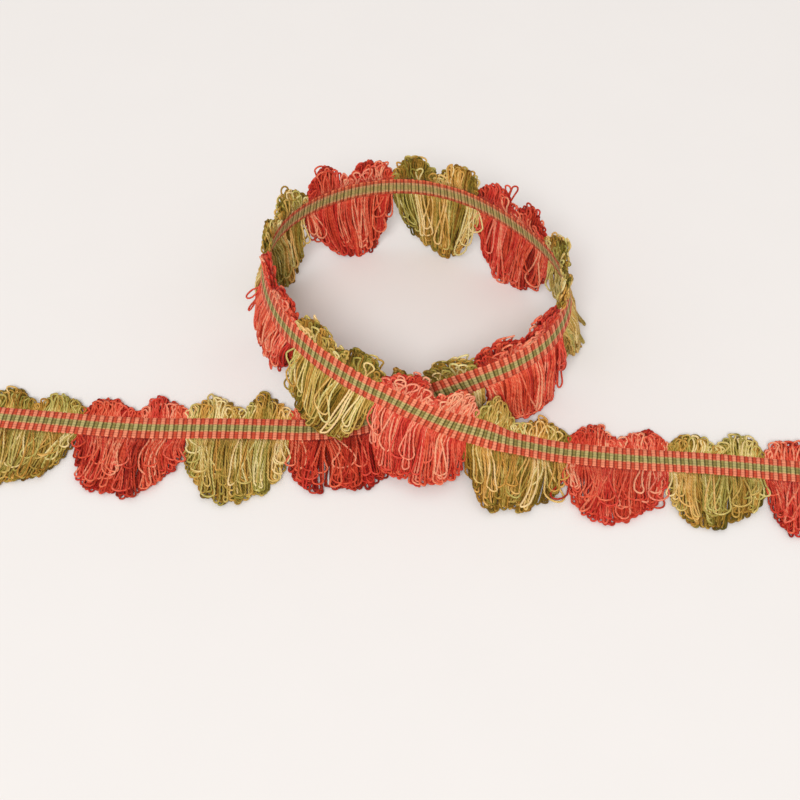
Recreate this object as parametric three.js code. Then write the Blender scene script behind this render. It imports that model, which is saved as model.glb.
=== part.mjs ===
// A cut length of fan edge trim, laid on a table with one standing loop in its middle.
// Millimetres, +Z up, the table at z = 0. The strand enters at the left, passes under, runs
// round the loop anticlockwise as seen from above, passes over itself and leaves at the right.
import * as THREE from 'three';

// Sizes of the trim
const bandWidth = 8.0;
const bandThickness = 1.4;
const yarnGap = 0.5;
const backingWidth = 1.5;
const fringeThickness = 1.6;
const fanLength = 19.6;
const scallopLength = 7.6;

// How one repeat is divided
const locksPerFan = 8;
const lockGap = 0.55;
const repeatMargin = 0.25;
const bandStepsPerFan = 12;
const pathStepsPerFan = 24;
const scallopsPerFan = 2;

// How far the locks of a hanging fan draw together at their tips, and how much shorter
// those of a flat fan lie in their waves
const gathering = 0.26;
const slack = 0.05;

// The outline of the fans and scallops: how full a fan is to its ends, how low the valley
// between two scallops lies, and how much both vary from place to place
const fanFullness = 2.4;
const scallopValley = 0.25;
const fanVariation = 0.04;
const scallopVariation = 0.06;

// Where the strand starts
const startX = -121.3;
const startY = -6.9;

// The way of the strand, a row for each place where it changes. At is counted in fans from
// the start. Then come the width of a fan there, the way the band heads (degrees
// anticlockwise from +X), its lean (0 lies face up, 90 stands on edge), the height of its
// middle, how steeply the fans fall (0 lies flat, 90 hangs straight, more swings inward),
// the height of whatever the fan tips lie on, and how far the scallops lean outward from
// the band's own plane.
const rows = [
  { at: 0, width: 29, heading: -6, lean: 0, height: 0.7, fall: 0, rest: 0, splay: 0 },
  { at: 1, width: 31, heading: -6, lean: 0, height: 0.7, fall: 0, rest: 0, splay: 0 },
  { at: 2, width: 30, heading: 0, lean: 0, height: 0.7, fall: 0, rest: 0, splay: 0 },
  { at: 3, width: 28.5, heading: -2, lean: 0, height: 0.7, fall: 0, rest: 0, splay: 0 },
  { at: 3.6, width: 28.5, heading: 7, lean: 0, height: 1.6, fall: 2, rest: 0, splay: 0 },
  { at: 4, width: 30, heading: 5, lean: 9, height: 4.6, fall: 15, rest: 0, splay: 0 },
  { at: 4.5, width: 30, heading: 6, lean: 45, height: 12, fall: 55, rest: 0, splay: 42 },
  { at: 5, width: 29.5, heading: 12, lean: 80, height: 18.3, fall: 95, rest: 0, splay: 20 },
  { at: 5.5, width: 29.5, heading: 33, lean: 79, height: 21.5, fall: 80, rest: 0, splay: 20 },
  { at: 6, width: 30.5, heading: 63, lean: 78, height: 23.2, fall: 82, rest: 0, splay: 20 },
  { at: 6.5, width: 30.5, heading: 94.5, lean: 77, height: 23.7, fall: 80, rest: 0, splay: 22 },
  { at: 7, width: 29, heading: 121, lean: 76, height: 23.9, fall: 90, rest: 0, splay: 25 },
  { at: 8, width: 28, heading: 145, lean: 77, height: 23.9, fall: 104, rest: 0, splay: 35 },
  { at: 9, width: 29, heading: 183, lean: 77, height: 23.9, fall: 105, rest: 0, splay: 38 },
  { at: 10, width: 29.5, heading: 221, lean: 77, height: 23.9, fall: 105, rest: 0, splay: 36 },
  { at: 11, width: 29, heading: 272, lean: 77, height: 23.9, fall: 84, rest: 0, splay: 20 },
  { at: 12, width: 29.5, heading: 309, lean: 77, height: 23.7, fall: 75, rest: 2.6, splay: 10 },
  { at: 13, width: 29, heading: 337, lean: 79, height: 19.5, fall: 52, rest: 3, splay: 5 },
  { at: 13.5, width: 29, heading: 348, lean: 78, height: 15, fall: 30, rest: 3, splay: 0 },
  { at: 14, width: 29.5, heading: 362, lean: 54, height: 9, fall: 24, rest: 2.6, splay: 0 },
  { at: 14.5, width: 29.5, heading: 355, lean: 4, height: 2.8, fall: 5, rest: 0, splay: 0 },
  { at: 15, width: 28.5, heading: 352, lean: 0, height: 0.7, fall: 0, rest: 0, splay: 0 },
  { at: 16, width: 27, heading: 356, lean: 0, height: 0.7, fall: 0, rest: 0, splay: 0 },
  { at: 17, width: 29, heading: 353, lean: 0, height: 0.7, fall: 0, rest: 0, splay: 0 },
  { at: 18, width: 29, heading: 354, lean: 0, height: 0.7, fall: 0, rest: 0, splay: 0 },
];
const fanCount = rows[rows.length - 1].at;

// How each fan differs from the plain one, from the start on: the length of its locks, how
// much longer they are toward its end than toward its start, how far their tips are swept
// along the band, how much closer together they lie there, and the height of its scallops.
const fans = [
  { length: 1.0, tilt: -0.12, sweep: -1.5, draw: 0.1, hump: 0.88 },
  { length: 1.03, tilt: -0.1, sweep: -0.8, draw: 0.12, hump: 0.88 },
  { length: 1.12, tilt: 0, sweep: 0, draw: 0, hump: 1.06 },
  { length: 1.0, tilt: 0, sweep: 0, draw: 0, hump: 1.0 },
  { length: 1.0, tilt: 0, sweep: 0, draw: 0, hump: 1.0 },
  { length: 1.08, tilt: 0, sweep: -2.0, draw: 0, hump: 1.0 },
  { length: 1.0, tilt: 0, sweep: 0, draw: 0, hump: 1.0 },
  { length: 1.06, tilt: 0, sweep: -0.5, draw: -0.06, hump: 0.93 },
  { length: 1.06, tilt: -0.12, sweep: -1.0, draw: 0.06, hump: 1.0 },
  { length: 1.06, tilt: -0.1, sweep: -1.0, draw: 0, hump: 0.97 },
  { length: 0.97, tilt: 0, sweep: 0, draw: 0, hump: 1.0 },
  { length: 0.8, tilt: 0, sweep: 0, draw: 0, hump: 1.0 },
  { length: 1.0, tilt: 0, sweep: -3.0, draw: 0, hump: 1.0 },
  { length: 1.0, tilt: 0, sweep: 0, draw: 0, hump: 1.0 },
  { length: 1.0, tilt: -0.12, sweep: -1.8, draw: 0.06, hump: 0.9 },
  { length: 1.0, tilt: -0.08, sweep: -1.2, draw: 0.15, hump: 0.93 },
  { length: 0.98, tilt: -0.1, sweep: -1.5, draw: 0.13, hump: 0.9 },
  { length: 1.0, tilt: -0.1, sweep: -0.5, draw: 0.1, hump: 0.93 },
];
const sweepBend = 1.5;

// Stations of a lock from its backing to its tip: the share of its length, of its width and
// of its thickness.
const fanStations = [
  { reach: 0.34, width: 1.0, thickness: 1.0 },
  { reach: 0.68, width: 0.96, thickness: 1.0 },
  { reach: 0.9, width: 0.86, thickness: 0.9 },
  { reach: 1.0, width: 0.45, thickness: 0.6 },
];
const scallopStations = [
  { reach: 0.7, width: 0.95, thickness: 1.0 },
  { reach: 1.0, width: 0.5, thickness: 0.7 },
];

// Colours
const bandColor = 0xc9734f;
const coralColor = 0xc8402f;
const greenColor = 0xa89a45;

const up = new THREE.Vector3(0, 0, 1);

function rowAt(position) {
  let row = 0;
  while (row < rows.length - 2 && rows[row + 1].at <= position) {
    row += 1;
  }
  return row;
}

// A smooth value between the rows that never overshoots them
function between(column, position) {
  const last = rows.length - 2;
  const span = (row) => rows[row + 1].at - rows[row].at;
  const slope = (row) => (rows[row + 1][column] - rows[row][column]) / span(row);
  const tangent = (row) => {
    if (row === 0 || row > last) {
      return slope(Math.min(row, last));
    }
    const before = slope(row - 1);
    const after = slope(row);
    return before * after <= 0 ? 0 : (2 * before * after) / (before + after);
  };
  const row = rowAt(position);
  const part = (position - rows[row].at) / span(row);
  const left = 1 - part;
  return rows[row][column] * (1 + 2 * part) * left * left
    + tangent(row) * span(row) * part * left * left
    + rows[row + 1][column] * part * part * (3 - 2 * part)
    - tangent(row + 1) * span(row) * part * part * left;
}

function fanWidth(position) {
  return rows[rowAt(position)].width;
}

// The middle line of the band, walked in small steps
function walkPath() {
  const points = [new THREE.Vector3(startX, startY, rows[0].height)];
  for (let index = 1; index <= fanCount * pathStepsPerFan; index += 1) {
    const before = (index - 1) / pathStepsPerFan;
    const after = index / pathStepsPerFan;
    const stepLength = fanWidth(before) / pathStepsPerFan;
    const rise = between('height', after) - between('height', before);
    const run = Math.sqrt(stepLength * stepLength - rise * rise);
    const heading = THREE.MathUtils.degToRad(between('heading', (before + after) / 2));
    const last = points[index - 1];
    points.push(new THREE.Vector3(
      last.x + run * Math.cos(heading),
      last.y + run * Math.sin(heading),
      last.z + rise,
    ));
  }
  return points;
}
const path = walkPath();

function pathPoint(position) {
  const place = Math.min(Math.max(position * pathStepsPerFan, 0), path.length - 1);
  const index = Math.min(Math.floor(place), path.length - 2);
  return path[index].clone().lerp(path[index + 1], place - index);
}

// The band's place and directions at a position counted in fans
function frameAt(position) {
  const reach = 1 / pathStepsPerFan;
  const along = pathPoint(Math.min(position + reach, fanCount));
  along.sub(pathPoint(Math.max(position - reach, 0))).normalize();
  const side = new THREE.Vector3(-along.y, along.x, 0).normalize();
  const rise = new THREE.Vector3().crossVectors(along, side);
  const lean = THREE.MathUtils.degToRad(between('lean', position));
  const fall = THREE.MathUtils.degToRad(between('fall', position));
  const splay = THREE.MathUtils.degToRad(between('splay', position));
  const upward = (angle) => side.clone().multiplyScalar(Math.cos(angle))
    .addScaledVector(rise, Math.sin(angle));
  const across = upward(lean);
  const stand = upward(lean + splay);
  const hang = side.clone().multiplyScalar(-Math.cos(fall));
  hang.addScaledVector(up, -Math.sin(fall));
  const face = new THREE.Vector3().crossVectors(along, across);
  const rest = between('rest', position);
  return { middle: pathPoint(position), along, across, stand, face, hang, fall, rest };
}

// A closed body made of cells in rows and columns. Every filled cell has a front and a back,
// and a wall wherever its neighbour is missing.
function cellBody(rowCount, columnCount, isFilled, corner) {
  const positions = [];
  const triangles = [];
  const known = new Map();
  const vertex = (row, column, side) => {
    const key = `${row},${column},${side}`;
    if (!known.has(key)) {
      known.set(key, positions.length / 3);
      positions.push(...corner(row, column, side).toArray());
    }
    return known.get(key);
  };
  const quad = (a, b, c, d) => triangles.push(a, b, c, a, c, d);
  const filled = (row, column) => row >= 0 && row < rowCount && column >= 0
    && column < columnCount && isFilled(row, column);
  for (let row = 0; row < rowCount; row += 1) {
    for (let column = 0; column < columnCount; column += 1) {
      if (!filled(row, column)) {
        continue;
      }
      const ring = [[row, column], [row + 1, column], [row + 1, column + 1], [row, column + 1]];
      const neighbours = [[row, column - 1], [row + 1, column], [row, column + 1], [row - 1, column]];
      const front = ring.map(([r, c]) => vertex(r, c, 1));
      const back = ring.map(([r, c]) => vertex(r, c, -1));
      quad(front[0], front[1], front[2], front[3]);
      quad(back[3], back[2], back[1], back[0]);
      neighbours.forEach(([r, c], edge) => {
        if (!filled(r, c)) {
          const next = (edge + 1) % ring.length;
          quad(front[edge], back[edge], back[next], front[next]);
        }
      });
    }
  }
  const geometry = new THREE.BufferGeometry();
  geometry.setAttribute('position', new THREE.Float32BufferAttribute(positions, 3));
  geometry.setIndex(triangles);
  geometry.computeVertexNormals();
  return geometry;
}

function onTable(point, rest) {
  point.z = Math.max(point.z, rest);
  return point;
}

// The woven band, one ribbon from end to end
function bandGeometry() {
  const columns = fanCount * bandStepsPerFan;
  const corner = (row, column, side) => {
    const frame = frameAt(column / bandStepsPerFan);
    const point = frame.middle.addScaledVector(frame.across, bandWidth * (0.5 - row));
    point.addScaledVector(frame.face, (side * bandThickness) / 2);
    return onTable(point, 0);
  };
  return cellBody(1, columns, () => true, corner);
}

// Columns of a fringe: locks and the gaps between them, as shares of the fan's width
function lockColumns(width) {
  const usable = width - 2 * repeatMargin - (locksPerFan - 1) * lockGap;
  const lockWidth = usable / locksPerFan;
  const edges = [];
  for (let lock = 0; lock < locksPerFan; lock += 1) {
    const left = repeatMargin + lock * (lockWidth + lockGap);
    edges.push(left / width, (left + lockWidth) / width);
  }
  return edges;
}

// Long in the middle of a fan, short at its ends, and a little uneven from fan to fan
function fanLockLength(fan, share) {
  const round = (1 - Math.abs(2 * share - 1) ** fanFullness) ** (1 / fanFullness);
  const uneven = 1 + fanVariation * Math.sin(2.3 * fan + 9 * share);
  const flat = Math.max(0, Math.cos(frameAt(fan + share).fall));
  const own = fans[fan].length * (1 + fans[fan].tilt * (2 * share - 1));
  return fanLength * own * round * uneven * (1 - slack * flat);
}

// Two rounded humps for each fan
function scallopLockLength(fan, share) {
  const hump = Math.abs(Math.sin(Math.PI * scallopsPerFan * share));
  const uneven = 1 + scallopVariation * Math.sin(1.7 * fan + 7 * share);
  const own = fans[fan].hump * uneven;
  return scallopLength * (scallopValley + (1 - scallopValley) * hump) * own;
}

// One row of locks whose roots are fused into a narrow backing strip beside the band
function fringeGeometry(fan, lockStations, lockLength, pointAt) {
  const edges = lockColumns(fanWidth(fan));
  const columnCount = edges.length - 1;
  const isLock = (column) => column % 2 === 0;
  const stations = [
    { reach: 0, width: 1, thickness: 1 },
    { reach: 0, width: 1, thickness: 1 },
    ...lockStations,
  ];
  const corner = (row, column, side) => {
    const lock = Math.floor(column / 2);
    const middle = (edges[2 * lock] + edges[2 * lock + 1]) / 2;
    const length = lockLength(fan, middle);
    const share = middle + (edges[column] - middle) * stations[row].width;
    const down = (index) => (index === 0 ? 0
      : backingWidth + (length - backingWidth) * stations[index].reach);
    const here = pointAt(fan, share, down(row));
    const before = pointAt(fan, share, down(Math.max(row - 1, 0)));
    const after = pointAt(fan, share, down(Math.min(row + 1, stations.length - 1)));
    const direction = before.point.sub(after.point).multiplyScalar(here.sign).normalize();
    const out = new THREE.Vector3().crossVectors(here.along, direction).normalize();
    const half = (fringeThickness * stations[row].thickness) / 2;
    return onTable(here.point.addScaledVector(out, side * half), here.rest);
  };
  const isFilled = (row, column) => row === 0 || isLock(column);
  return cellBody(stations.length - 1, columnCount, isFilled, corner);
}

// Points of a fan lock: down from the band's lower edge until it lies on what is under it
function fanPoint(fan, share, down) {
  const root = frameAt(fan + share);
  const strip = Math.min(down, backingWidth);
  const part = (down - strip) / fanLength;
  const drawn = 1 - (gathering * Math.sin(root.fall) + fans[fan].draw) * part;
  const frame = frameAt(fan + 0.5 + (share - 0.5) * drawn);
  const point = frame.middle.addScaledVector(frame.across, -(bandWidth / 2 + yarnGap + strip));
  point.addScaledVector(frame.hang, down - strip);
  point.addScaledVector(frame.along, fans[fan].sweep * part ** sweepBend);
  const flatness = Math.abs(new THREE.Vector3().crossVectors(frame.along, frame.hang).z);
  onTable(point, frame.rest + (flatness * fringeThickness) / 2);
  return { point, along: frame.along, rest: frame.rest, sign: 1 };
}

// Points of a scallop lock: up from the band's upper edge, leaning out past the backing
function scallopPoint(fan, share, down) {
  const frame = frameAt(fan + share);
  const strip = Math.min(down, backingWidth);
  const point = frame.middle.addScaledVector(frame.across, bandWidth / 2 + yarnGap + strip);
  point.addScaledVector(frame.stand, down - strip);
  onTable(point, (Math.abs(frame.face.z) * fringeThickness) / 2);
  return { point, along: frame.along, rest: 0, sign: -1 };
}

function addPart(group, name, geometry, color) {
  const material = new THREE.MeshStandardMaterial({ color, roughness: 0.9 });
  const mesh = new THREE.Mesh(geometry, material);
  mesh.name = name;
  group.add(mesh);
}

// Scallop rows run the other way across the band, so their bodies are turned inside out
function flipped(geometry) {
  const index = geometry.index.array;
  for (let corner = 0; corner < index.length; corner += 3) {
    const kept = index[corner];
    index[corner] = index[corner + 1];
    index[corner + 1] = kept;
  }
  geometry.computeVertexNormals();
  return geometry;
}

function buildTrim() {
  const group = new THREE.Group();
  addPart(group, 'band', bandGeometry(), bandColor);
  for (let fan = 0; fan < fanCount; fan += 1) {
    const number = String(fan + 1).padStart(2, '0');
    const color = fan % 2 === 0 ? greenColor : coralColor;
    const fringe = fringeGeometry(fan, fanStations, fanLockLength, fanPoint);
    addPart(group, `fan_fringe_${number}`, fringe, color);
    const scallop = fringeGeometry(fan, scallopStations, scallopLockLength, scallopPoint);
    addPart(group, `scallop_edge_${number}`, flipped(scallop), color);
  }
  return group;
}

// The middle of the whole trim's box goes to X = 0, Y = 0
function centred(group) {
  const middle = new THREE.Box3().setFromObject(group).getCenter(new THREE.Vector3());
  group.children.forEach((mesh) => mesh.geometry.translate(-middle.x, -middle.y, 0));
  return group;
}

const group = centred(buildTrim());
export default group;
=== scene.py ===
import math

import bpy
import numpy as np
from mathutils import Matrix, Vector


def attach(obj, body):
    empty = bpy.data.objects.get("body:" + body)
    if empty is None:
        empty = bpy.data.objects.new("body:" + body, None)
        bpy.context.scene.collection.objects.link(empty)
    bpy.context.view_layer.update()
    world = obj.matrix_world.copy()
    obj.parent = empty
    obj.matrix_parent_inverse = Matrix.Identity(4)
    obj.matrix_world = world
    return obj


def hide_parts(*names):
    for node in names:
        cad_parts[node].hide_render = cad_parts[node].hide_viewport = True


# Sizes of the trim, as in the CAD part
BAND_WIDTH = 8.0
BAND_THICKNESS = 1.4
YARN_GAP = 0.5
FAN_LENGTH = 19.6
SCALLOP_LENGTH = 7.6
# How much closer together a hanging fan's tips lie, how much shorter a lying fan is, how full
# a fan's round outline is, how high the valleys between scallops are as a share of the humps,
# and how late the sweep of a fan's tips grows
GATHERING = 0.26
SLACK = 0.05
FAN_FULLNESS = 2.4
SCALLOP_VALLEY = 0.25
SCALLOPS_PER_FAN = 2
SWEEP_BEND = 1.5
# The steps in which the strand is walked, where it starts, and the middle of its box
PATH_STEPS_PER_FAN = 24
START = (-121.3, -6.9)
BOX_MIDDLE = (4.917, 9.066)
# How much the loops' length rises and falls, and the pace of that from fan to fan and in a fan
FAN_UNEVENNESS = {"amount": 0.04, "fan_pace": 2.3, "share_pace": 9}
SCALLOP_UNEVENNESS = {"amount": 0.06, "fan_pace": 1.7, "share_pace": 7}

# The way of the strand, a row for each place where it changes, as in the CAD part: the place
# counted in fans, a fan's width, the heading, how far the band leans over, the height of its
# middle, how steeply the fan falls, the height of what it rests on, and how much farther than
# the band the scallops lean over
COLUMNS = ("at", "width", "heading", "lean", "height", "fall", "rest", "splay")
ROWS = np.array([
    (0, 29, -6, 0, 0.7, 0, 0, 0),
    (1, 31, -6, 0, 0.7, 0, 0, 0),
    (2, 30, 0, 0, 0.7, 0, 0, 0),
    (3, 28.5, -2, 0, 0.7, 0, 0, 0),
    (3.6, 28.5, 7, 0, 1.6, 2, 0, 0),
    (4, 30, 5, 9, 4.6, 15, 0, 0),
    (4.5, 30, 6, 45, 12, 55, 0, 42),
    (5, 29.5, 12, 80, 18.3, 95, 0, 20),
    (5.5, 29.5, 33, 79, 21.5, 80, 0, 20),
    (6, 30.5, 63, 78, 23.2, 82, 0, 20),
    (6.5, 30.5, 94.5, 77, 23.7, 80, 0, 22),
    (7, 29, 121, 76, 23.9, 90, 0, 25),
    (8, 28, 145, 77, 23.9, 104, 0, 35),
    (9, 29, 183, 77, 23.9, 105, 0, 38),
    (10, 29.5, 221, 77, 23.9, 105, 0, 36),
    (11, 29, 272, 77, 23.9, 84, 0, 20),
    (12, 29.5, 309, 77, 23.7, 75, 2.6, 10),
    (13, 29, 337, 79, 19.5, 52, 3, 5),
    (13.5, 29, 348, 78, 15, 30, 3, 0),
    (14, 29.5, 362, 54, 9, 24, 2.6, 0),
    (14.5, 29.5, 355, 4, 2.8, 5, 0, 0),
    (15, 28.5, 352, 0, 0.7, 0, 0, 0),
    (16, 27, 356, 0, 0.7, 0, 0, 0),
    (17, 29, 353, 0, 0.7, 0, 0, 0),
    (18, 29, 354, 0, 0.7, 0, 0, 0),
])

# How each fan differs from the plain one, as in the CAD part: the length of its loops, how
# much longer they are toward its end, how far their tips are swept along the band, how much
# closer together they lie there, and the height of its scallops
FANS = (
    {"length": 1.0, "tilt": -0.12, "sweep": -1.5, "draw": 0.1, "hump": 0.88},
    {"length": 1.03, "tilt": -0.1, "sweep": -0.8, "draw": 0.12, "hump": 0.88},
    {"length": 1.12, "tilt": 0.0, "sweep": 0.0, "draw": 0.0, "hump": 1.06},
    {"length": 1.0, "tilt": 0.0, "sweep": 0.0, "draw": 0.0, "hump": 1.0},
    {"length": 1.0, "tilt": 0.0, "sweep": 0.0, "draw": 0.0, "hump": 1.0},
    {"length": 1.08, "tilt": 0.0, "sweep": -2.0, "draw": 0.0, "hump": 1.0},
    {"length": 1.0, "tilt": 0.0, "sweep": 0.0, "draw": 0.0, "hump": 1.0},
    {"length": 1.06, "tilt": 0.0, "sweep": -0.5, "draw": -0.06, "hump": 0.93},
    {"length": 1.06, "tilt": -0.12, "sweep": -1.0, "draw": 0.06, "hump": 1.0},
    {"length": 1.06, "tilt": -0.1, "sweep": -1.0, "draw": 0.0, "hump": 0.97},
    {"length": 0.97, "tilt": 0.0, "sweep": 0.0, "draw": 0.0, "hump": 1.0},
    {"length": 0.8, "tilt": 0.0, "sweep": 0.0, "draw": 0.0, "hump": 1.0},
    {"length": 1.0, "tilt": 0.0, "sweep": -3.0, "draw": 0.0, "hump": 1.0},
    {"length": 1.0, "tilt": 0.0, "sweep": 0.0, "draw": 0.0, "hump": 1.0},
    {"length": 1.0, "tilt": -0.12, "sweep": -1.8, "draw": 0.06, "hump": 0.9},
    {"length": 1.0, "tilt": -0.08, "sweep": -1.2, "draw": 0.15, "hump": 0.93},
    {"length": 0.98, "tilt": -0.1, "sweep": -1.5, "draw": 0.13, "hump": 0.9},
    {"length": 1.0, "tilt": -0.1, "sweep": -0.5, "draw": 0.1, "hump": 0.93},
)
FAN_COUNT = len(FANS)

# The band's weave: a pair of ribs is a wide and a narrow one, and warp ends run along the band
RIB_PAIRS_PER_FAN = 12
WIDE_RIB = 0.56
RIB_RELIEF = 0.22
RIB_VARIATION = (0.8, 1.1)
WARP_ENDS = 9
ROWS_PER_END = 2
END_RELIEF = 0.06
# How far the edges reach past the solid's, the share of the thickness beside them, and how
# deep the grooves notch them as a share of the half width
SELVEDGE = 0.1
SELVEDGE_THINNING = 0.85
EDGE_NOTCH = 0.035
# Across one pair of ribs: the share of the pair, and the height as a share of the relief
RIB_SHARES = np.array([0.0, 0.1, 0.28, 0.46, WIDE_RIB, 0.65, 0.78, 0.91])
RIB_HEIGHTS = np.array([0.1, 0.8, 1.0, 0.75, 0.0, 0.6, 0.8, 0.6])
# How far the back's second coordinate is ahead of the face's, by which the weave tells them
BACK_OFFSET = 12

# The yarn, and how a fringe leaves the band: how deep its roots reach into it, the share of
# its layers' lift that they have there, and the way in which it bends out of the band's plane
YARN_RADIUS = 0.3
ROOT_DEPTH = 0.6
ROOT_RAISE = 0.1
FAN_BEND = 4.0
SCALLOP_BEND = 3.0
# How softly the yarns meet the table, and how high the layers lie on it at most
TABLE_SOFTNESS = 0.25
HIGHEST_LAYER = 1.6
# The heights of the band from which a fringe begins to leave the table and is wholly free
FREE_HEIGHTS = (3.0, 13.0)

# The meshes of the yarns: sides, and points along a leg and round a tip
YARN_SIDES = 5
FAN_LEG_POINTS = 9
SCALLOP_LEG_POINTS = 6
TIP_POINTS = 6
# A direction that no yarn sets off in
OFF_AXIS = np.array([0.3, 0.5, 0.8])

SEED = 20

# The shape of a loop: its least length, the greatest half gap between its roots, the greatest
# radius of its tip as a share of its length, and the powers by which the legs open, the tip
# leans and the loop flares out
SHORTEST_LOOP = 1.9
WIDEST_ROOT = 0.45
WIDEST_TIP = 0.42
OPENING_POWER = 1.5
LEAN_POWER = 1.7
FLARE_POWER = 2
# Its waves: their number along the band's way and out from it, their size, the least size of
# those out from it, and how that grows with the layer's own
SIDE_WAVES = (1.0, 2.6)
DEPTH_WAVES = (0.8, 2.2)
WAVE_SIZES = (0.3, 1.0)
DEPTH_WAVE = 0.15
DEPTH_WAVE_GROWTH = 0.35
# The share of its stray and of its wave that a very short loop keeps
SHORT_STRAY = 0.25
SHORT_WAVE = 0.3

# Layers of loops in a fan, from the middle out: how many, how far from the middle they lie,
# the shares of the fan's length that they reach, how wide they open, how far their tips stray,
# how they wave, how much they follow their lock, and their tones. The tones vary at random and
# also rise from the middle out: painted shade on the inner, covered layers and painted light on
# the outer ones.
FAN_LAYERS = (
    {"count": 34, "lift": 0.0, "reach": (0.98, 1.05), "open": (1.0, 1.7), "stray": 0.6,
     "wave": 0.3, "follow": 0.3, "tone": (0.0, 0.5)},
    {"count": 30, "lift": 0.4, "reach": (0.9, 1.05), "open": (1.1, 2.1), "stray": 1.0,
     "wave": 0.5, "follow": 0.8, "tone": (0.1, 0.75)},
    {"count": 24, "lift": 0.8, "reach": (0.72, 1.04), "open": (1.2, 2.8), "stray": 1.6,
     "wave": 0.8, "follow": 1.0, "tone": (0.3, 0.9)},
    {"count": 14, "lift": 1.2, "reach": (0.55, 1.0), "open": (1.8, 5.4), "stray": 3.4,
     "wave": 1.3, "follow": 1.0, "tone": (0.5, 1.0)},
)
# Here too the tones rise from the middle out: painted shade on the inner layers and painted light
# on the outer ones
SCALLOP_LAYERS = (
    {"count": 36, "lift": 0.0, "reach": (0.84, 1.0), "open": (0.8, 1.2), "stray": 0.4,
     "wave": 0.3, "follow": 0.3, "tone": (0.0, 0.5)},
    {"count": 32, "lift": 0.5, "reach": (0.66, 1.02), "open": (1.0, 1.8), "stray": 1.0,
     "wave": 0.7, "follow": 0.8, "tone": (0.15, 0.8)},
    {"count": 24, "lift": 1.0, "reach": (0.5, 1.08), "open": (1.4, 2.8), "stray": 1.8,
     "wave": 1.2, "follow": 1.0, "tone": (0.4, 1.0)},
)
# A fringe that hangs or stands free has loops on both sides, so it has more of them. One that
# lies has them on top, and its lowest layer is that far under the band's middle.
FREE_EXTRA = 0.25
LYING_DROP = 0.4

# How a fringe parts into locks: how many, how much their tips draw together, lean along the
# band, bow and bulge, and the least and greatest share of the full length that they have
FAN_LOCKS = {"count": 6, "gather": 0.26, "lean": 1.1, "bow": 0.8, "bulge": 0.6,
             "reach": (0.93, 1.06)}
SCALLOP_LOCKS = {"count": 5, "gather": 0.3, "lean": 0.5, "bow": 0.4, "bulge": 0.4,
                 "reach": (0.9, 1.1)}
# How unlike each other the locks of a fringe are, and how much shorter the loops at their sides
LOCK_SPREAD = {"edge": 0.25, "bulge": (0.6, 1.2), "tone": 0.07, "warm": 0.15}
LOCK_ROUNDING = 0.05
# How unlike each other the loops of a layer are, the warmth by the powers of a beta draw
LOOP_SPREAD = {"root": 0.3, "stray": 0.55, "lift": 0.2, "bow": (0.5, 1.3), "warm": (0.9, 1.0)}

# Loops that leave the rest: the fan, counted from 0, where along it, length, opening, how far
# the tip goes along the band, and out from it
STRAY_FAN_LOOPS = (
    (5, 0.9, 15.5, 2.4, 1.6, 0.8), (5, 0.96, 11.0, 2.6, 1.4, 0.8),
    (6, 0.3, 16.5, 1.3, 0.6, 2.2), (6, 0.5, 15.0, 1.5, 1.0, 3.0), (6, 0.62, 17.0, 1.2, 0.4, 2.6),
    (9, 0.9, 12.5, 3.4, 1.0, 0.7), (9, 0.97, 10.5, 3.6, 0.8, 0.2),
    (11, 0.06, 6.0, 3.2, -1.2, 3.6), (11, 0.12, 8.5, 2.2, -0.6, 3.0),
    (12, 0.1, 14.0, 3.0, -2.2, 0.6),
    (15, 0.04, 13.5, 4.6, -4.6, 0.6), (15, 0.9, 13.5, 4.0, 1.0, 0.7),
    (17, 0.1, 12.0, 3.4, -1.0, 0.7),
)
STRAY_SCALLOP_LOOPS = (
    (7, 0.62, 9.2, 2.2, -1.0, 0.4), (10, 0.2, 8.4, 2.6, 0.5, 0.9), (14, 0.2, 6.5, 3.0, 0.6, 0.8),
)

# What these loops have in common
STRAY_HABIT = {"root_half": 0.3, "bow": 0.0, "wave": 0.4, "lift": 0.5}
STRAY_TONES = (0.2, 0.7)

# Fans, counted from 0, whose yarns are made lighter or darker than those of the rest; the
# darkening of fan 3, which lies under the crossing strand, is painted shade
FAN_TONES_AND_SHADE = {0: -0.09, 1: -0.08, 2: 0.06, 3: -0.2, 5: 0.05, 13: 0.23, 14: -0.1, 15: 0.08}

# Colours as seen, red, green and blue of 255, from the darkest to the lightest tone, whose low
# end also serves as painted shade and whose high end as painted light: the cooler yarns of each
# colour and the warmer ones
CORAL_COOL = ((0.0, (122, 12, 8)), (0.3, (174, 30, 20)), (0.6, (208, 54, 40)),
              (0.85, (228, 90, 70)), (1.0, (238, 142, 114)))
CORAL_WARM = ((0.0, (146, 38, 14)), (0.3, (196, 62, 36)), (0.6, (226, 94, 60)),
              (0.85, (238, 134, 98)), (1.0, (242, 174, 134)))
GREEN_COOL = ((0.0, (80, 70, 10)), (0.3, (124, 110, 32)), (0.6, (166, 152, 70)),
              (0.85, (202, 190, 110)), (1.0, (226, 214, 150)))
GREEN_WARM = ((0.0, (118, 76, 12)), (0.3, (170, 120, 38)), (0.6, (212, 158, 74)),
              (0.85, (234, 188, 112)), (1.0, (244, 212, 154)))
# The yarn's plies and how often they meet in a millimetre, and how much its tone changes in
# fine specks, in patches, and from painted shade in the groove between the plies to a little
# painted light on their tops
YARN_PLIES = 2.0
YARN_TWIST = 0.75
SPECK_TONES = (-0.25, 0.25)
PATCH_TONES = (-0.3, 0.3)
PLY_SHADE_TONES = (-0.16, 0.04)
SPECK_WARMTH = (-0.4, 0.4)
SPECK_BUMP = 0.5

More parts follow.
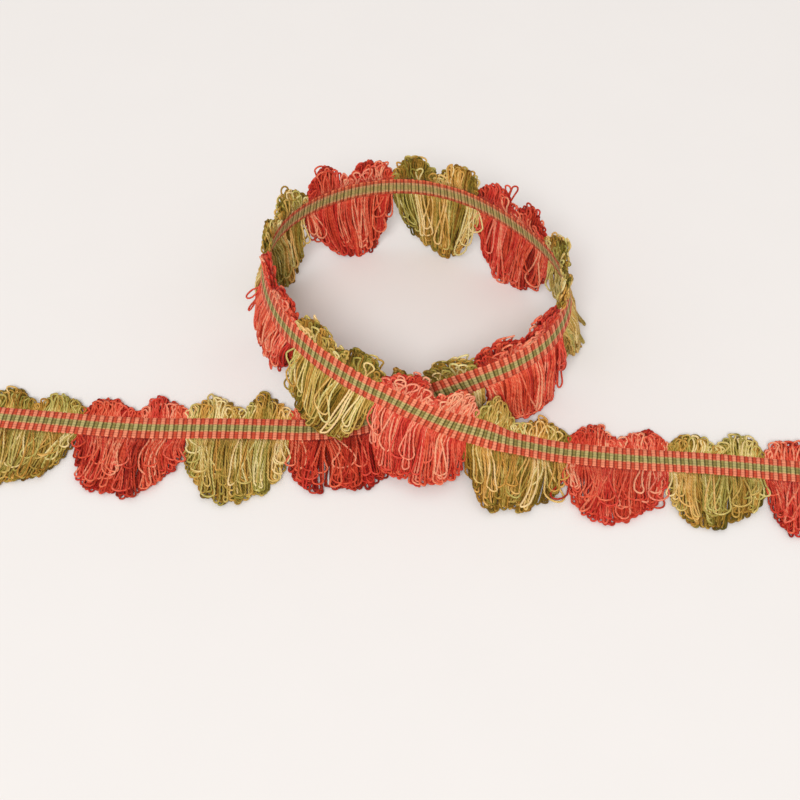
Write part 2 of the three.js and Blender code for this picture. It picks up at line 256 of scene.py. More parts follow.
# The two sides of the band: the colours of the wide and the narrow ribs in the edge stripes
# and in the middle, the colour and strength of the border between them, and where the edge
# stripes begin and the border begins and ends, in warp ends from the middle
BAND_FACE = {
    "edge": ((246, 148, 112), (210, 82, 52)), "middle": ((194, 180, 116), (150, 136, 72)),
    "border": (226, 168, 112), "border_strength": 0.8,
    "edge_from": (1.3, 1.4), "border_from": (1.1, 1.2), "border_to": (1.5, 1.65),
}
BAND_BACK = {
    "edge": ((232, 128, 88), (212, 92, 56)), "middle": ((206, 186, 116), (190, 168, 98)),
    "border": (240, 180, 128), "border_strength": 0.85,
    "edge_from": (2.4, 2.7), "border_from": (1.2, 1.6), "border_to": (2.4, 2.7),
}
# The colours of the painted shade in the grooves and between warp ends, which the mottling
# also darkens to, and how far the groove shade reaches into a rib: at the wide rib's end and,
# weaker, at the pair's end
SHADE_AND_MOTTLING_EDGE = (142, 36, 14)
SHADE_AND_MOTTLING_MIDDLE = (76, 66, 18)
WIDE_RIB_GROOVE = (0.15, 0.03)
PAIR_GROOVE = (0.12, 0.01)
PAIR_GROOVE_STRENGTH = 0.8
# How sharply a rib changes colour, and how uneven the ribs and the stripes' edges are
RIB_CHANGE = 0.04
RIB_WOBBLE = (-0.07, 0.07)
STRIPE_WOBBLE = (-0.2, 0.2)
# How dark the painted shade in the grooves and in the gaps between warp ends is, how dark
# the mottling is, and where in an end and in the noise the gaps and the mottling lie
GROOVE_SHADE = 0.9
WARP_GAP_SHADE = 0.35
END_GAP = (0.3, 0.5)
MOTTLING = 0.18
MOTTLED = (0.35, 0.7)
# The threads in a warp end, and their share of the bump
THREADS_PER_END = 2
THREAD_BUMP = 0.3

# How fine the noises are, in periods to a metre, and how deep the bumps are, in metres
SPECK_SCALE = 900.0
PATCH_SCALE = 170.0
RIB_WOBBLE_SCALE = 700.0
MOTTLING_SCALE = 520.0
FIBRE_SCALE = 1500.0
TABLE_SCALE = 40.0
YARN_BUMP = 0.00012
BAND_BUMP = 0.0001
# How matt the materials are, and their sheen
YARN_FINISH = {"roughness": 0.55, "sheen": 0.03}
BAND_FINISH = {"roughness": 0.7, "sheen": 0.03}
TABLE_FINISH = {"roughness": 0.9, "sheen": 0.0}
SHEEN_ROUGHNESS = 0.4
SPECULAR = 0.2

# The table and the light, in metres and watts
TABLE_COLOR = (238, 235, 232)
TABLE_GRAIN = 2
TABLE_HALF = 3.0
BACKDROP_COLOR = (252, 248, 246)
BACKDROP_STRENGTH = 0.64
KEY_PLACE = (-0.4, -2.3, 2.5)
KEY_SIZE = 1.4
KEY_POWER = 74.0

# The colour sockets of a mix node, whose sockets for numbers and vectors have the same names
MIX_COLOR_INPUTS = (6, 7)
MIX_COLOR_OUTPUT = 2

# The camera, with its near limit in metres
LOOK_AT = (-BOX_MIDDLE[0], -BOX_MIDDLE[1], 0.0)
CAMERA_DISTANCE = 441.0
CAMERA_ELEVATION = 50.0
CAMERA_LENS = 67.5
CAMERA_SENSOR = 36.0
CAMERA_NEAR = 0.01


def linear(color):
    """A colour of 255 as the renderer's linear light, with alpha."""
    share = np.array(color, float) / 255
    light = np.where(share <= 0.04045, share / 12.92, ((share + 0.055) / 1.055) ** 2.4)
    return (*light.tolist(), 1.0)


def column(name):
    return ROWS[:, COLUMNS.index(name)]


def row_at(position):
    """The row in force at positions counted in fans."""
    return np.clip(np.searchsorted(column("at"), position, side="right") - 1, 0, len(ROWS) - 2)


def between(name, position):
    """A smooth value between the rows that never overshoots them."""
    at, value = column("at"), column(name)
    span = np.diff(at)
    slope = np.diff(value) / span
    before, after = slope[:-1], slope[1:]
    same = before * after > 0
    total = np.where(same, before + after, 1.0)
    inner = np.where(same, 2 * before * after / total, 0.0)
    tangent = np.concatenate([slope[:1], inner, slope[-1:]])
    row = row_at(position)
    part = (position - at[row]) / span[row]
    left = 1 - part
    return (value[row] * (1 + 2 * part) * left ** 2
            + tangent[row] * span[row] * part * left ** 2
            + value[row + 1] * part ** 2 * (3 - 2 * part)
            - tangent[row + 1] * span[row] * part ** 2 * left)


def fan_width(position):
    return column("width")[row_at(position)]


def walk_path():
    """The middle line of the band, walked in small steps."""
    places = np.arange(FAN_COUNT * PATH_STEPS_PER_FAN + 1) / PATH_STEPS_PER_FAN
    length = fan_width(places[:-1]) / PATH_STEPS_PER_FAN
    height = between("height", places)
    run = np.sqrt(length ** 2 - np.diff(height) ** 2)
    heading = np.radians(between("heading", (places[:-1] + places[1:]) / 2))
    x = START[0] - BOX_MIDDLE[0] + np.concatenate([[0], np.cumsum(run * np.cos(heading))])
    y = START[1] - BOX_MIDDLE[1] + np.concatenate([[0], np.cumsum(run * np.sin(heading))])
    return places, np.stack([x, y, height], 1), float(length.sum())


PLACES, PATH, STRAND_LENGTH = walk_path()


def unit(vectors):
    """The vectors at length 1, and one of no length as it is."""
    return vectors / np.maximum(np.linalg.norm(vectors, axis=-1, keepdims=True), 1e-9)


def grow(least, share):
    """From the least at a share of 0 to 1 at a share of 1."""
    return least + (1 - least) * share


def path_point(position):
    return np.stack([np.interp(position, PLACES, PATH[:, axis]) for axis in range(3)], -1)


def frame_at(position):
    """The band's place and directions at positions counted in fans."""
    step = 1 / PATH_STEPS_PER_FAN
    ahead = path_point(np.clip(position + step, 0, FAN_COUNT))
    behind = path_point(np.clip(position - step, 0, FAN_COUNT))
    along = unit(ahead - behind)
    side = unit(np.stack([-along[..., 1], along[..., 0], np.zeros_like(along[..., 0])], -1))
    rise = np.cross(along, side)
    lean = np.radians(between("lean", position))[..., None]
    fall = np.radians(between("fall", position))[..., None]
    splay = np.radians(between("splay", position))[..., None]
    across = side * np.cos(lean) + rise * np.sin(lean)
    stand = side * np.cos(lean + splay) + rise * np.sin(lean + splay)
    hang = -side * np.cos(fall) - np.array([0, 0, 1.0]) * np.sin(fall)
    return {
        "middle": path_point(position), "along": along, "across": across, "stand": stand,
        "face": np.cross(along, across), "hang": hang, "rest": between("rest", position),
    }


def above(height, floor):
    """Keeps points over a floor, with a soft bend where they meet it."""
    return floor + TABLE_SOFTNESS * np.logaddexp(0, (height - floor) / TABLE_SOFTNESS)


def turned_over(down, bend):
    """Splits a way into the part along the band's plane and the part after the bend."""
    after = np.where(down < bend, np.maximum(down, 0) ** 2 / (2 * bend), down - bend / 2)
    return (down - after)[..., None], after[..., None], np.clip(down / bend, 0, 1)[..., None]


def fan_surface(fan, along_band, down, lift):
    """Points of a fan, that far along the band, down from its edge, and out from its middle."""
    share = along_band / fan_width(fan)
    part = np.maximum(down, 0) / FAN_LENGTH
    hanging = np.sin(np.radians(between("fall", np.clip(fan + share, 0, FAN_COUNT))))
    drawn = 1 - (GATHERING * hanging + FANS[fan]["draw"]) * part
    frame = frame_at(np.clip(fan + 0.5 + (share - 0.5) * drawn, 0, FAN_COUNT))
    straight, hung, turned = turned_over(down, FAN_BEND)
    direction = unit(frame["hang"] * turned - frame["across"] * (1 - turned))
    out = unit(np.cross(frame["along"], -direction))
    raised = lift * grow(ROOT_RAISE, turned[..., 0])
    point = (frame["middle"] - frame["across"] * (BAND_WIDTH / 2 + straight)
             + frame["hang"] * hung + out * raised[..., None]
             + frame["along"] * (FANS[fan]["sweep"] * part ** SWEEP_BEND)[..., None])
    layer = np.clip(raised + LYING_DROP, 0, HIGHEST_LAYER) * turned[..., 0]
    point[..., 2] = above(point[..., 2], frame["rest"] + YARN_RADIUS + layer)
    return point


def scallop_surface(fan, along_band, up, lift):
    """Points of a scallop, that far along the band, out from its edge, and off its middle."""
    frame = frame_at(np.clip(fan + along_band / fan_width(fan), 0, FAN_COUNT))
    straight, stood, turned = turned_over(up, SCALLOP_BEND)
    direction = unit(frame["stand"] * turned + frame["across"] * (1 - turned))
    out = unit(np.cross(frame["along"], direction))
    raised = lift * grow(ROOT_RAISE, turned[..., 0])
    point = (frame["middle"] + frame["across"] * (BAND_WIDTH / 2 + straight)
             + frame["stand"] * stood + out * raised[..., None])
    layer = np.clip(raised + LYING_DROP, 0, HIGHEST_LAYER) * turned[..., 0]
    point[..., 2] = above(point[..., 2], YARN_RADIUS + layer)
    return point


def unevenness(kind, fan, share):
    """A slow wave in the loops' length, as a factor."""
    return 1 + kind["amount"] * np.sin(kind["fan_pace"] * fan + kind["share_pace"] * share)


def fan_outline(fan, share):
    """How long the loops of a fan are at each share of its width."""
    flat = np.maximum(0, np.cos(np.radians(between("fall", fan + share))))
    side = 2 * share - 1
    full = (1 - np.clip(np.abs(side), 0, 1) ** FAN_FULLNESS) ** (1 / FAN_FULLNESS)
    uneven = unevenness(FAN_UNEVENNESS, fan, share)
    own = FANS[fan]["length"] * (1 + FANS[fan]["tilt"] * side)
    return FAN_LENGTH * own * uneven * full * (1 - SLACK * flat) + YARN_GAP - YARN_RADIUS


def scallop_outline(fan, share):
    """How long the loops of a pair of scallops are at each share of its width."""
    hump = np.abs(np.sin(np.pi * SCALLOPS_PER_FAN * share))
    uneven = unevenness(SCALLOP_UNEVENNESS, fan, share)
    height = SCALLOP_LENGTH * grow(SCALLOP_VALLEY, hump)
    return height * FANS[fan]["hump"] * uneven + YARN_GAP - YARN_RADIUS


def waves(random, paces, count, points):
    """A wave along each loop, with a pace, phase and size of its own."""
    pace = random.uniform(*paces, (count, 1))
    phase = random.uniform(0, 2 * np.pi, (count, 1))
    size = random.uniform(*WAVE_SIZES, (count, 1))
    return size * np.sin(2 * np.pi * pace * np.linspace(0, 1, points)[None, :] + phase)


def hairpins(random, loops, leg_points):
    """Loops that leave the band, turn and come back: their ways along the band, down and out."""
    length = loops["length"][:, None]
    radius = np.minimum(loops["opening"][:, None] / 2, length * WIDEST_TIP)
    straight = length - radius
    leg = np.linspace(0, 1, leg_points)[None, :]
    leg_down = -ROOT_DEPTH + (straight + ROOT_DEPTH) * leg
    opened = np.clip(leg_down / straight, 0, 1) ** OPENING_POWER
    root = loops["root_half"][:, None]
    half = root + (radius - root) * opened
    angle = np.linspace(0, np.pi, TIP_POINTS + 2)[None, 1:-1]
    tip_side = -radius * np.cos(angle)
    tip_down = straight + radius * np.sin(angle)
    side = np.concatenate([-half, tip_side, half[:, ::-1]], 1)
    down = np.concatenate([leg_down, tip_down, leg_down[:, ::-1]], 1)
    far = np.clip(down / length, 0, 1)
    waving = loops["wave"][:, None]
    lean = loops["tip"][:, None] * far ** LEAN_POWER
    lean = lean + loops["bow"][:, None] * np.sin(np.pi * far)
    side_wave = waving * waves(random, SIDE_WAVES, *side.shape)
    along_band = loops["root"][:, None] + side + lean + side_wave * far
    depth_wave = (DEPTH_WAVE + DEPTH_WAVE_GROWTH * waving) * waves(random, DEPTH_WAVES, *side.shape)
    off = loops["lift"][:, None] + depth_wave * far
    off = off + loops["flare"][:, None] * far ** FLARE_POWER
    return along_band, down, off


def part_locks(random, kind):
    """Where a fringe parts into locks, and how each of them hangs."""
    count = kind["count"]
    shift = random.uniform(-LOCK_SPREAD["edge"], LOCK_SPREAD["edge"], count + 1)
    edges = (np.arange(count + 1) + shift) / count
    edges[[0, -1]] = 0.0, 1.0
    return {
        "edges": edges,
        "middle": (edges[1:] + edges[:-1]) / 2,
        "half": (edges[1:] - edges[:-1]) / 2,
        "gather": np.full(count, kind["gather"]),
        "lean": random.normal(0, kind["lean"], count),
        "bow": random.normal(0, kind["bow"], count),
        "bulge": kind["bulge"] * random.uniform(*LOCK_SPREAD["bulge"], count),
        "reach": random.uniform(*kind["reach"], count),
        "tone": random.normal(0, LOCK_SPREAD["tone"], count),
        "warm": random.normal(0, LOCK_SPREAD["warm"], count),
    }


def freedom(position):
    """How far the fringe is off the table: 0 where it lies on it and 1 where it hangs free."""
    low, high = FREE_HEIGHTS
    return np.clip((between("height", position) - low) / (high - low), 0, 1)


def layer_loops(random, fan, layer, locks, outline):
    """The loops of one layer of a fringe, each of them in its lock."""
    width = fan_width(fan)
    count = round(layer["count"] * (1 + FREE_EXTRA * float(freedom(fan + 0.5))))

    def spread(key):
        return random.uniform(-LOOP_SPREAD[key], LOOP_SPREAD[key], count)

    pitch = width / count
    root = (np.arange(count) + 0.5 + spread("root")) * pitch
    share = root / width
    own = np.clip(np.searchsorted(locks["edges"], share) - 1, 0, len(locks["middle"]) - 1)
    lock = {key: values[own] for key, values in locks.items() if key != "edges"}
    place = (share - lock["middle"]) / lock["half"]
    reach = random.uniform(*layer["reach"], count) * lock["reach"]
    reach = reach * (1 - LOCK_ROUNDING * place ** 2)
    length = np.maximum(outline(fan, share) * reach, SHORTEST_LOOP)
    long_share = np.minimum(length / FAN_LENGTH, 1)
    tip = lock["lean"] - place * lock["half"] * width * lock["gather"]
    stray = random.normal(0, LOOP_SPREAD["stray"], count) * layer["stray"]
    # Where a fringe is free, half of its loops lie on its other side
    off_table = freedom(fan + share)
    face = np.where(random.uniform(0, 1, count) < off_table / 2, -1, 1)
    off = layer["lift"] + spread("lift") + lock["bulge"] * (1 - place ** 2)
    return {
        "root": root, "length": length,
        "root_half": np.full(count, min(pitch / 4, WIDEST_ROOT)),
        "opening": random.uniform(*layer["open"], count),
        "tip": (tip * layer["follow"] + stray) * grow(SHORT_STRAY, long_share),
        "bow": lock["bow"] * layer["follow"] * random.uniform(*LOOP_SPREAD["bow"], count),
        "wave": layer["wave"] * grow(SHORT_WAVE, long_share),
        "lift": face * off - LYING_DROP * (1 - off_table),
        "flare": np.zeros(count),
        # A loop's tone: its layer's, which holds painted shade and light by depth, its lock's, and
        # its fan's, which for fan 3 is painted shade
        "tone": random.uniform(*layer["tone"], count) + lock["tone"] + FAN_TONES_AND_SHADE.get(fan, 0),
        "warm": random.beta(*LOOP_SPREAD["warm"], count) + lock["warm"],
    }


def stray_loops(random, fan, strays):
    """The few loops that stand out from a fringe, or none."""
    own = np.array([stray[1:] for stray in strays if stray[0] == fan]).reshape(-1, 5)
    count = len(own)
    habit = {key: np.full(count, value) for key, value in STRAY_HABIT.items()}
    return {
        "root": own[:, 0] * fan_width(fan), "length": own[:, 1], "opening": own[:, 2],
        "tip": own[:, 3], "flare": own[:, 4], "tone": random.uniform(*STRAY_TONES, count),
        "warm": random.uniform(0, 1, count), **habit,
    }


def fringe_paths(random, fan, layers, lock_kind, strays, outline, surface, leg_points):
    """The centre lines, tones and warmth of all the loops of one fringe."""
    locks = part_locks(random, lock_kind)
    groups = [layer_loops(random, fan, layer, locks, outline) for layer in layers]
    groups.append(stray_loops(random, fan, strays))
    loops = {key: np.concatenate([group[key] for group in groups]) for key in groups[0]}
    lines = surface(fan, *hairpins(random, loops, leg_points))
    return lines, {"tone": loops["tone"], "warm": loops["warm"]}


def sweep(lines):
    """Round sections along many lines at once: their corners and the lengths run so far."""
    ahead = np.concatenate([lines[:, 1:], lines[:, -1:]], 1)
    behind = np.concatenate([lines[:, :1], lines[:, :-1]], 1)
    tangent = unit(ahead - behind)
    normals = [unit(np.cross(tangent[:, 0], OFF_AXIS))]
    for step in range(1, lines.shape[1]):
        normal, along = normals[-1], tangent[:, step]
        normals.append(unit(normal - (normal * along).sum(-1, keepdims=True) * along))
    normal = np.stack(normals, 1)
    binormal = np.cross(tangent, normal)
    angle = (np.arange(YARN_SIDES) / YARN_SIDES * 2 * np.pi)[:, None]
    ring = normal[:, :, None] * np.cos(angle) + binormal[:, :, None] * np.sin(angle)
    corners = lines[:, :, None] + ring * YARN_RADIUS
    steps = np.linalg.norm(np.diff(lines, axis=1), axis=-1)
    run = np.concatenate([np.zeros((len(lines), 1)), np.cumsum(steps, 1)], 1)
    return corners, run


def new_object(name, corners, faces, uvs, shades):
    """A smooth mesh in metres with its own coordinates and shades for the yarn or the weave."""
    mesh = bpy.data.meshes.new(name)
    mesh.from_pydata((np.asarray(corners) / 1000).tolist(), [], faces)
    layer = mesh.uv_layers.new(name="strand")
    layer.uv.foreach_set("vector", np.asarray(uvs, np.float32).ravel())
    for key, values in shades.items():
        shade = mesh.attributes.new(key, "FLOAT", "POINT")
        shade.data.foreach_set("value", np.asarray(values, np.float32))
    mesh.polygons.foreach_set("use_smooth", np.ones(len(mesh.polygons), bool))
    obj = bpy.data.objects.new(name, mesh)
    bpy.context.collection.objects.link(obj)
    return obj


def tube_faces(index):
    """The faces of closed tubes, whose corners are numbered by tube, ring and place in it."""
    turned = np.roll(index, -1, axis=2)
    sides = np.stack([index[:, :-1], turned[:, :-1], turned[:, 1:], index[:, 1:]], -1)
    return sides.reshape(-1, 4).tolist() + index[:, 0, ::-1].tolist() + index[:, -1].tolist()


def yarn_object(name, lines, shades):
    """Many yarns as one mesh of closed tubes."""
    corners, run = sweep(lines)
    count, points = lines.shape[:2]
    index = np.arange(count * points * YARN_SIDES).reshape(count, points, YARN_SIDES)
    low = np.broadcast_to(np.arange(YARN_SIDES) / YARN_SIDES, (count, points - 1, YARN_SIDES))
    high = low + 1 / YARN_SIDES
    first = np.broadcast_to(run[:, :-1, None], low.shape)
    last = np.broadcast_to(run[:, 1:, None], low.shape)
    side_uvs = np.stack([low, first, high, first, high, last, low, last], -1).reshape(-1, 2)
    uvs = np.concatenate([side_uvs, np.zeros((2 * count * YARN_SIDES, 2))])
    point_shades = {key: np.repeat(values, points * YARN_SIDES) for key, values in shades.items()}
    return new_object(name, corners.reshape(-1, 3), tube_faces(index), uvs, point_shades)


def rib_heights(random, pairs):
    """Places along the band, in pairs of ribs, and the relief there, uneven from pair to pair."""
    places = np.append((np.arange(pairs)[:, None] + RIB_SHARES).ravel(), pairs)
    own = np.repeat(random.uniform(*RIB_VARIATION, pairs), len(RIB_SHARES))
    height = np.append(np.tile(RIB_HEIGHTS, pairs) * own, 0.0)
    return places, height


def band_rings(places, height):
    """The rings of the band's ribbon at those places, and how far across it their rows lie."""
    frame = frame_at(places / RIB_PAIRS_PER_FAN)
    rows = WARP_ENDS * ROWS_PER_END
    share = np.arange(rows + 1) / rows
    edge = np.ones(rows + 1)
    edge[[0, -1]] = 0.0
    edge[[1, -2]] = SELVEDGE_THINNING
    crest = np.arange(rows + 1) % ROWS_PER_END
    base = BAND_THICKNESS / 2 - RIB_RELIEF - END_RELIEF
    thick = edge * (base + RIB_RELIEF * height[:, None] + END_RELIEF * crest)
    notched = 1 - EDGE_NOTCH * (1 - np.minimum(height, 1))
    side = np.outer(notched, (BAND_WIDTH + 2 * SELVEDGE) * (0.5 - share))
    flat = frame["middle"][:, None] + frame["across"][:, None] * side[..., None]
    front = flat + frame["face"][:, None] * thick[..., None]
    back = flat - frame["face"][:, None] * thick[..., None]
    return np.concatenate([front, back[:, 1:-1][:, ::-1]], 1), share


def band_object():
    """The band as one closed ribbon: ribs across it, warp ends along it, on both faces."""
    random = np.random.default_rng(SEED)
    places, height = rib_heights(random, FAN_COUNT * RIB_PAIRS_PER_FAN)
    rings, share = band_rings(places, height)
    count, around = rings.shape[:2]
    index = np.arange(count * around).reshape(1, count, around)
    face_v = share * WARP_ENDS
    back_v = BACK_OFFSET + (1 - share) * WARP_ENDS
    shape = (count - 1, around)
    low = np.broadcast_to(np.concatenate([face_v[:-1], back_v[:-1]]), shape)
    high = np.broadcast_to(np.concatenate([face_v[1:], back_v[1:]]), shape)
    first = np.broadcast_to(places[:-1, None], shape)
    last = np.broadcast_to(places[1:, None], shape)
    side_uvs = np.stack([first, low, first, high, last, high, last, low], -1).reshape(-1, 2)
    uvs = np.concatenate([side_uvs, np.zeros((2 * around, 2))])
    return new_object("woven_band", rings.reshape(-1, 3), tube_faces(index), uvs, {})


class Nodes:
    """Small helpers that add nodes to one material."""

    def __init__(self, name):
        self.material = bpy.data.materials.new(name)
        self.material.use_nodes = True
        self.tree = self.material.node_tree
        self.shader = self.tree.nodes["Principled BSDF"]

    def put(self, socket, value):
        """Links an output to a socket, or sets the socket to a plain value."""
        if isinstance(value, bpy.types.NodeSocket):
            self.tree.links.new(value, socket)
        else:
            socket.default_value = value

    def math(self, operation, *values):
        node = self.tree.nodes.new("ShaderNodeMath")
        node.operation = operation
        for socket, value in zip(node.inputs, values):
            self.put(socket, value)
        return node.outputs[0]

    def apart(self, first, second):
        """How far two values are from each other."""
        return self.math("ABSOLUTE", self.math("SUBTRACT", first, second))

    def span(self, share, low, high):
        """From low at a share of 0 to high at a share of 1."""
        return self.math("MULTIPLY_ADD", share, high - low, low)

    def step(self, value, low, high):
        """0 below low and 1 above high, smooth between them."""
        node = self.tree.nodes.new("ShaderNodeMapRange")
        node.interpolation_type = "SMOOTHSTEP"
        self.put(node.inputs["Value"], value)
        node.inputs["From Min"].default_value = low
        node.inputs["From Max"].default_value = high
        return node.outputs["Result"]

    def mix(self, share, first, second):
        node = self.tree.nodes.new("ShaderNodeMix")
        node.data_type = "RGBA"
        self.put(node.inputs["Factor"], share)
        for socket, value in zip(MIX_COLOR_INPUTS, (first, second)):
            self.put(node.inputs[socket], value)
        return node.outputs[MIX_COLOR_OUTPUT]

    def ramp(self, value, stops):
        """A colour that runs through the stops as the value rises."""
        node = self.tree.nodes.new("ShaderNodeValToRGB")
        elements = node.color_ramp.elements
        while len(elements) < len(stops):
            elements.new(0.5)
        for element, (place, color) in zip(elements, stops):
            element.position = place
            element.color = linear(color)
        self.put(node.inputs[0], value)
        return node.outputs[0]

    def noise(self, scale, detail=2.0):
        node = self.tree.nodes.new("ShaderNodeTexNoise")
        place = self.tree.nodes.new("ShaderNodeTexCoord")
        self.tree.links.new(place.outputs["Object"], node.inputs["Vector"])
        node.inputs["Scale"].default_value = scale
        node.inputs["Detail"].default_value = detail
        return node.outputs[0]

    def strand(self):
        """The two coordinates that new_object gave the mesh."""
        node = self.tree.nodes.new("ShaderNodeUVMap")
        node.uv_map = "strand"
        split = self.tree.nodes.new("ShaderNodeSeparateXYZ")
        self.tree.links.new(node.outputs[0], split.inputs[0])
        return split.outputs[0], split.outputs[1]

    def shade(self, name):
        """One of the shades that new_object gave the mesh."""
        node = self.tree.nodes.new("ShaderNodeAttribute")
        node.attribute_name = name
        return node.outputs["Fac"]

    def bump(self, height, distance):
        node = self.tree.nodes.new("ShaderNodeBump")
        node.inputs["Distance"].default_value = distance
        node.inputs["Strength"].default_value = 1.0
        self.put(node.inputs["Height"], height)
        self.tree.links.new(node.outputs[0], self.shader.inputs["Normal"])

    def finish(self, color, roughness, sheen):
        """The material, with its colour and surface set."""
        self.put(self.shader.inputs["Base Color"], color)
        self.shader.inputs["Roughness"].default_value = roughness
        self.shader.inputs["Sheen Weight"].default_value = sheen
        self.shader.inputs["Sheen Roughness"].default_value = SHEEN_ROUGHNESS
        self.shader.inputs["Specular IOR Level"].default_value = SPECULAR
        return self.material


def yarn_material(name, cool_tones, warm_tones):
    """Two-ply twisted yarn: plies wind round it, with painted shade between them, and each yarn has
    a tone of its own.
    """
    nodes = Nodes(name)
    around, run = nodes.strand()
    turns = nodes.math("ADD", nodes.math("MULTIPLY", around, YARN_PLIES),
                       nodes.math("MULTIPLY", run, YARN_TWIST))
    ply = nodes.math("ABSOLUTE", nodes.math("SINE", nodes.math("MULTIPLY", turns, math.pi)))
    speck = nodes.noise(SPECK_SCALE, 3.0)
    patch = nodes.noise(PATCH_SCALE)
    tone = nodes.shade("tone")
    # Specks and patches are the yarn's own tone; the ply step is painted shade in the groove
    # between the plies
    for share, tones in ((speck, SPECK_TONES), (patch, PATCH_TONES),
                         (nodes.step(ply, 0.0, 0.5), PLY_SHADE_TONES)):
        tone = nodes.math("ADD", tone, nodes.span(share, *tones))
    warm = nodes.math("ADD", nodes.shade("warm"), nodes.span(speck, *SPECK_WARMTH))
    color = nodes.mix(warm, nodes.ramp(tone, cool_tones), nodes.ramp(tone, warm_tones))
    nodes.bump(nodes.math("ADD", ply, nodes.math("MULTIPLY", speck, SPECK_BUMP)), YARN_BUMP)
    return nodes.finish(color, **YARN_FINISH)


def stripes(nodes, side, off_middle, narrow):
    """The ribs' colours on one side of the band, and where its edge stripes are."""
    outer = nodes.step(off_middle, *side["edge_from"])
    edge = nodes.mix(narrow, *map(linear, side["edge"]))
    middle = nodes.mix(narrow, *map(linear, side["middle"]))
    border = nodes.math("SUBTRACT", nodes.step(off_middle, *side["border_from"]),
                        nodes.step(off_middle, *side["border_to"]))
    border = nodes.math("MULTIPLY", border, side["border_strength"])
    return nodes.mix(border, nodes.mix(outer, middle, edge), linear(side["border"])), outer


def rib_groove_shade(nodes, pair):
    """Where painted shade darkens the grooves at the wide rib's end and at the pair's."""
    to_wide = nodes.apart(pair, WIDE_RIB)
    to_end = nodes.math("SUBTRACT", 0.5, nodes.apart(pair, 0.5))
    at_end = nodes.math("MULTIPLY", nodes.step(to_end, *PAIR_GROOVE), PAIR_GROOVE_STRENGTH)
    return nodes.math("MAXIMUM", nodes.step(to_wide, *WIDE_RIB_GROOVE), at_end)


def band_material():
    """Rep weave: ribs of two colours, in three stripes on the face and five on the back."""
    nodes = Nodes("band_weave")
    run, across = nodes.strand()
    back = nodes.math("GREATER_THAN", across, BACK_OFFSET - 1.0)
    across = nodes.math("SUBTRACT", across, nodes.math("MULTIPLY", back, float(BACK_OFFSET)))
    wobble = nodes.span(nodes.noise(RIB_WOBBLE_SCALE), *RIB_WOBBLE)
    pair = nodes.math("FRACT", nodes.math("ADD", run, wobble))
    narrow = nodes.step(pair, WIDE_RIB - RIB_CHANGE, WIDE_RIB + RIB_CHANGE)
    off_middle = nodes.math("ADD", nodes.apart(across, WARP_ENDS / 2),
                            nodes.span(nodes.noise(SPECK_SCALE), *STRIPE_WOBBLE))
    face_color, face_outer = stripes(nodes, BAND_FACE, off_middle, narrow)
    back_color, back_outer = stripes(nodes, BAND_BACK, off_middle, narrow)
    color = nodes.mix(back, face_color, back_color)
    outer = nodes.mix(back, face_outer, back_outer)
    # Painted shade in the grooves between ribs; the same darker colour serves the gaps between warp
    # ends and the mottling
    dark = nodes.mix(outer, linear(SHADE_AND_MOTTLING_MIDDLE), linear(SHADE_AND_MOTTLING_EDGE))
    groove = nodes.math("MULTIPLY", rib_groove_shade(nodes, pair), GROOVE_SHADE)
    color = nodes.mix(groove, color, dark)
    # Painted shade in the gaps between warp ends, which the bump below also sinks
    end_edge = nodes.step(nodes.apart(nodes.math("FRACT", across), 0.5), *END_GAP)
    color = nodes.mix(nodes.math("MULTIPLY", end_edge, WARP_GAP_SHADE), color, dark)
    mottled = nodes.mix(nodes.step(nodes.noise(MOTTLING_SCALE, 4.0), *MOTTLED), color, dark)
    color = nodes.mix(MOTTLING, color, mottled)
    turns = nodes.math("MULTIPLY", across, 2 * math.pi * THREADS_PER_END)
    thread = nodes.math("MULTIPLY", nodes.math("SINE", turns), THREAD_BUMP)
    height = nodes.math("ADD", thread, nodes.noise(FIBRE_SCALE, 3.0))
    nodes.bump(nodes.math("SUBTRACT", height, end_edge), BAND_BUMP)
    return nodes.finish(color, **BAND_FINISH)


def table_material():
    """A pale matt surface with a slight change of shade."""
    nodes = Nodes("pale_table")
    darker = linear([part - TABLE_GRAIN for part in TABLE_COLOR])
    shade = nodes.mix(nodes.noise(TABLE_SCALE), linear(TABLE_COLOR), darker)
    return nodes.finish(shade, **TABLE_FINISH)


def dress(obj, material, slot, *replaced):
    """Gives a piece its material, hangs it from the root body and hides the solids it stands for.
    """
    obj.data.materials.append(material)
    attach(obj, "root")
    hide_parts(*replaced)
    return obj


def make_fringes():
    """A piece for each fan and each pair of scallops, green and coral in turn."""
    green = (yarn_material("green_yarn", GREEN_COOL, GREEN_WARM), "green_yarn")
    coral = (yarn_material("coral_yarn", CORAL_COOL, CORAL_WARM), "coral_yarn")
    kinds = (
        ("fan_loops", "fan_fringe", FAN_LAYERS, FAN_LOCKS, STRAY_FAN_LOOPS, fan_outline,
         fan_surface, FAN_LEG_POINTS),
        ("scallop_loops", "scallop_edge", SCALLOP_LAYERS, SCALLOP_LOCKS, STRAY_SCALLOP_LOOPS,
         scallop_outline, scallop_surface, SCALLOP_LEG_POINTS),
    )
    pieces = []
    for fan in range(FAN_COUNT):
        random = np.random.default_rng(SEED + 1 + fan)
        material, slot = green if fan % 2 == 0 else coral
        for name, node, *shape in kinds:
            obj = yarn_object(f"{name}_{fan + 1:02d}", *fringe_paths(random, fan, *shape))
            pieces.append(dress(obj, material, slot, f"{node}_{fan + 1:02d}"))
    return pieces


def make_floor():
    """The table top, which belongs to the stage and not to the part."""
    corners = [(x * TABLE_HALF, y * TABLE_HALF, 0) for x, y in ((-1, -1), (1, -1), (1, 1), (-1, 1))]
    mesh = bpy.data.meshes.new("floor")
    mesh.from_pydata(corners, [], [(0, 1, 2, 3)])
    floor = bpy.data.objects.new("floor", mesh)
    floor.data.materials.append(table_material())
    bpy.context.collection.objects.link(floor)


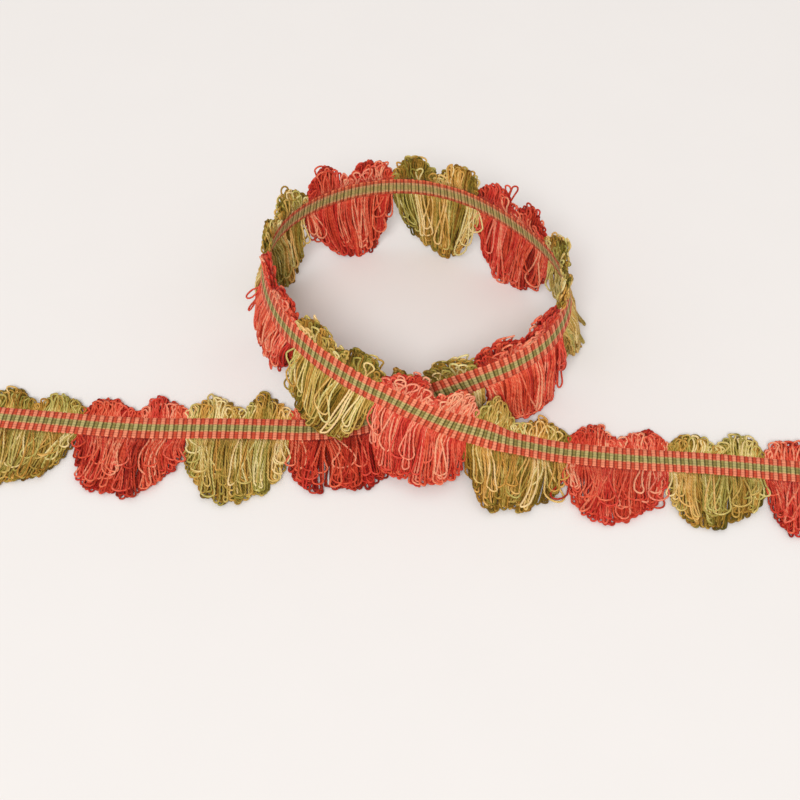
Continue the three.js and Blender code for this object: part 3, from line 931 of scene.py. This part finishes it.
def make_world():
    """An even pale light from all round."""
    world = bpy.data.worlds.new("studio")
    world.use_nodes = True
    background = world.node_tree.nodes["Background"]
    background.inputs["Color"].default_value = linear(BACKDROP_COLOR)
    background.inputs["Strength"].default_value = BACKDROP_STRENGTH
    bpy.context.scene.world = world
    bpy.context.scene.view_settings.view_transform = "Standard"
    bpy.context.scene.view_settings.look = "None"


def make_key_light():
    """A soft light from above the camera, turned to the part."""
    data = bpy.data.lights.new("key", "AREA")
    data.shape = "DISK"
    data.size = KEY_SIZE
    data.energy = KEY_POWER
    light = bpy.data.objects.new("key", data)
    light.location = KEY_PLACE
    light.rotation_mode = "QUATERNION"
    light.rotation_quaternion = (-Vector(KEY_PLACE)).to_track_quat("-Z", "Y")
    bpy.context.collection.objects.link(light)


def make_camera():
    """The photograph's view: from the front, well above the table."""
    data = bpy.data.cameras.new("camera")
    data.lens = CAMERA_LENS
    data.sensor_width = CAMERA_SENSOR
    data.clip_start = CAMERA_NEAR
    camera = bpy.data.objects.new("camera", data)
    elevation = math.radians(CAMERA_ELEVATION)
    target = Vector(LOOK_AT) / 1000
    back = Vector((0, -math.cos(elevation), math.sin(elevation)))
    camera.location = target + back * (CAMERA_DISTANCE / 1000)
    camera.rotation_mode = "QUATERNION"
    camera.rotation_quaternion = (-back).to_track_quat("-Z", "Y")
    bpy.context.collection.objects.link(camera)
    bpy.context.scene.camera = camera


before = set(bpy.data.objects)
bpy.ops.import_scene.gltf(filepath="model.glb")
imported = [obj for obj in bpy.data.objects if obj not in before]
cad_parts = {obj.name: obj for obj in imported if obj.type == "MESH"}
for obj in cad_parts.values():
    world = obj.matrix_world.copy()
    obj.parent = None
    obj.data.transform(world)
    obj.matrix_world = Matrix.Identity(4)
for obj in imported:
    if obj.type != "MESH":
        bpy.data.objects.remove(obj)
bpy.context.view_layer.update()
band = dress(band_object(), band_material(), "band_yarn", "band")
fringes = make_fringes()
make_floor()
make_world()
make_key_light()
make_camera()
